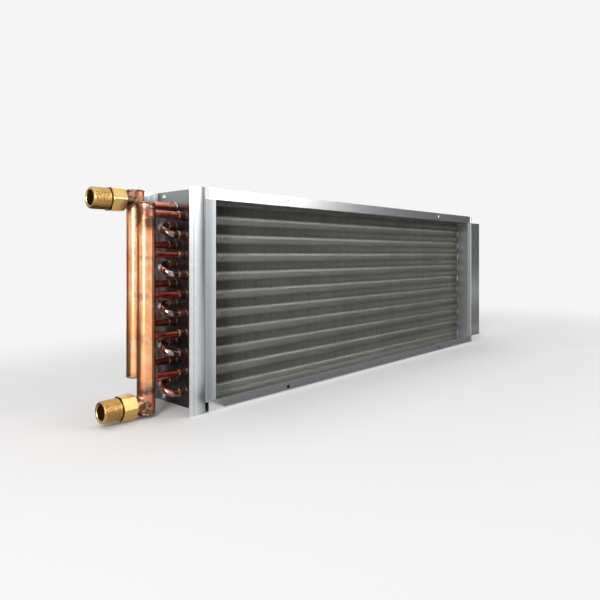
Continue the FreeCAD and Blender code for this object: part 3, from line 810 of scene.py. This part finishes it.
def buildFloor():
    look = {
        "size": 30, "colour": (0.76, 0.76, 0.76), "rough": 0.9, "gloss": 0.1,
        "fade": (0.26, 0.72), "squeeze": (0.5, 1, 1), "pale": 0.913,
    }
    mesh = bpy.data.meshes.new("floor")
    half = look["size"] / 2
    mesh.from_pydata([(-half, -half, 0), (half, -half, 0), (half, half, 0), (-half, half, 0)], [], [(0, 1, 2, 3)])
    floor = bpy.data.objects.new("floor", mesh)
    scene.collection.objects.link(floor)
    material, tree, shader, place = startMaterial("paleFloor", 0.0)
    shader.inputs["Base Color"].default_value = look["colour"] + (1,)
    shader.inputs["Roughness"].default_value = look["rough"]
    shader.inputs["Specular IOR Level"].default_value = look["gloss"]
    glow = tree.nodes.new("ShaderNodeEmission")
    glow.inputs["Color"].default_value = (look["pale"],) * 3 + (1,)
    squeeze = tree.nodes.new("ShaderNodeVectorMath")
    squeeze.operation = "MULTIPLY"
    squeeze.inputs[1].default_value = look["squeeze"]
    tree.links.new(place, squeeze.inputs[0])
    far = tree.nodes.new("ShaderNodeVectorMath")
    far.operation = "LENGTH"
    tree.links.new(squeeze.outputs[0], far.inputs[0])
    fade = addSmooth(tree, far.outputs["Value"], *look["fade"])
    share = addMath(tree, "MULTIPLY", fade, addSeen(tree))
    mix = tree.nodes.new("ShaderNodeMixShader")
    tree.links.new(share, mix.inputs[0])
    tree.links.new(shader.outputs[0], mix.inputs[1])
    tree.links.new(glow.outputs[0], mix.inputs[2])
    tree.links.new(mix.outputs[0], tree.nodes["Material Output"].inputs["Surface"])
    mesh.materials.append(material)


def buildWorld():
    look = {"light": 0.42, "pale": 0.913}
    world = bpy.data.worlds.new("studio")
    scene.world = world
    world.use_nodes = True
    tree = world.node_tree
    back = tree.nodes["Background"]
    back.inputs["Color"].default_value = (1, 1, 1, 1)
    strength = addMath(tree, "MULTIPLY_ADD", addSeen(tree), look["pale"] - look["light"], look["light"])
    tree.links.new(strength, back.inputs["Strength"])


lamps = {
    "frontSoftbox": {"place": (1.15, -1.85, 1.05), "target": (-0.3, 0, 0.2), "size": (1.1, 1.0), "power": 15},
    "leftSoftbox": {"place": (-1.80, -0.90, 0.75), "target": (-0.38, 0, 0.15), "size": (0.45, 1.5), "power": 26},
    "topSoftbox": {"place": (0.0, 0.3, 2.2), "target": (0, 0, 0.1), "size": (1.8, 1.8), "power": 22},
}
cards = {
    "rightCard": {"place": (2.24, -0.92, 0.5), "target": (0, 0, 0.5), "size": (1.8, 1.7), "shade": 0.10},
    "rearCard": {"place": (-1.21, 1.22, 0.13), "target": (-0.34, 0, 0.13), "size": (1.2, 0.46), "shade": 0.12},
    "frontFloorCard": {"place": (0.4475, -0.093, 0.0015), "size": (1.505, 0.075), "shade": 0.12},
    "rightFloorCard": {"place": (1.15, -0.42, 0.0015), "size": (1.3, 0.56), "shade": 0.08},
    "rearFloorCard": {"place": (-0.88, 0.62, 0.0015), "size": (1.0, 1.2), "shade": 0.03},
}


def aim(item, look):
    item.location = look["place"]
    if "target" in look:
        item.rotation_euler = (Vector(look["target"]) - Vector(look["place"])).to_track_quat("-Z", "Y").to_euler()
    scene.collection.objects.link(item)


def addLamp(name, look):
    lamp = bpy.data.lights.new(name, "AREA")
    lamp.shape = "RECTANGLE"
    lamp.size, lamp.size_y = look["size"]
    lamp.energy = look["power"]
    holder = bpy.data.objects.new(name, lamp)
    holder.visible_camera = False
    aim(holder, look)


def addCard(name, look):  # a dark card that only metal sees
    mesh = bpy.data.meshes.new(name)
    w, h = look["size"][0] / 2, look["size"][1] / 2
    mesh.from_pydata([(-w, -h, 0), (w, -h, 0), (w, h, 0), (-w, h, 0)], [], [(0, 1, 2, 3)])
    card = bpy.data.objects.new(name, mesh)
    aim(card, look)
    material = bpy.data.materials.new(name)
    material.use_nodes = True
    shader = material.node_tree.nodes["Principled BSDF"]
    shader.inputs["Base Color"].default_value = (look["shade"],) * 3 + (1,)
    shader.inputs["Roughness"].default_value = 1
    mesh.materials.append(material)
    card.visible_camera = False
    card.visible_diffuse = False
    card.visible_shadow = False


def buildCamera():
    look = {
        "place": (-0.768, -0.606, 0.2003), "turn": (90, 0, -47.69),
        "lens": 33.0, "sensor": 36, "drop": -0.0772, "near": 0.01,
    }
    data = bpy.data.cameras.new("photoView")
    data.lens = look["lens"]
    data.sensor_width = look["sensor"]
    data.shift_y = look["drop"]
    data.clip_start = look["near"]
    camera = bpy.data.objects.new("photoView", data)
    camera.location = look["place"]
    camera.rotation_euler = [math.radians(angle) for angle in look["turn"]]
    scene.collection.objects.link(camera)
    scene.camera = camera


buildFloor()
buildWorld()
for name, look in lamps.items():
    addLamp(name, look)
for name, look in cards.items():
    addCard(name, look)
buildCamera()
scene.view_settings.view_transform = "Standard"
print("studio ready")
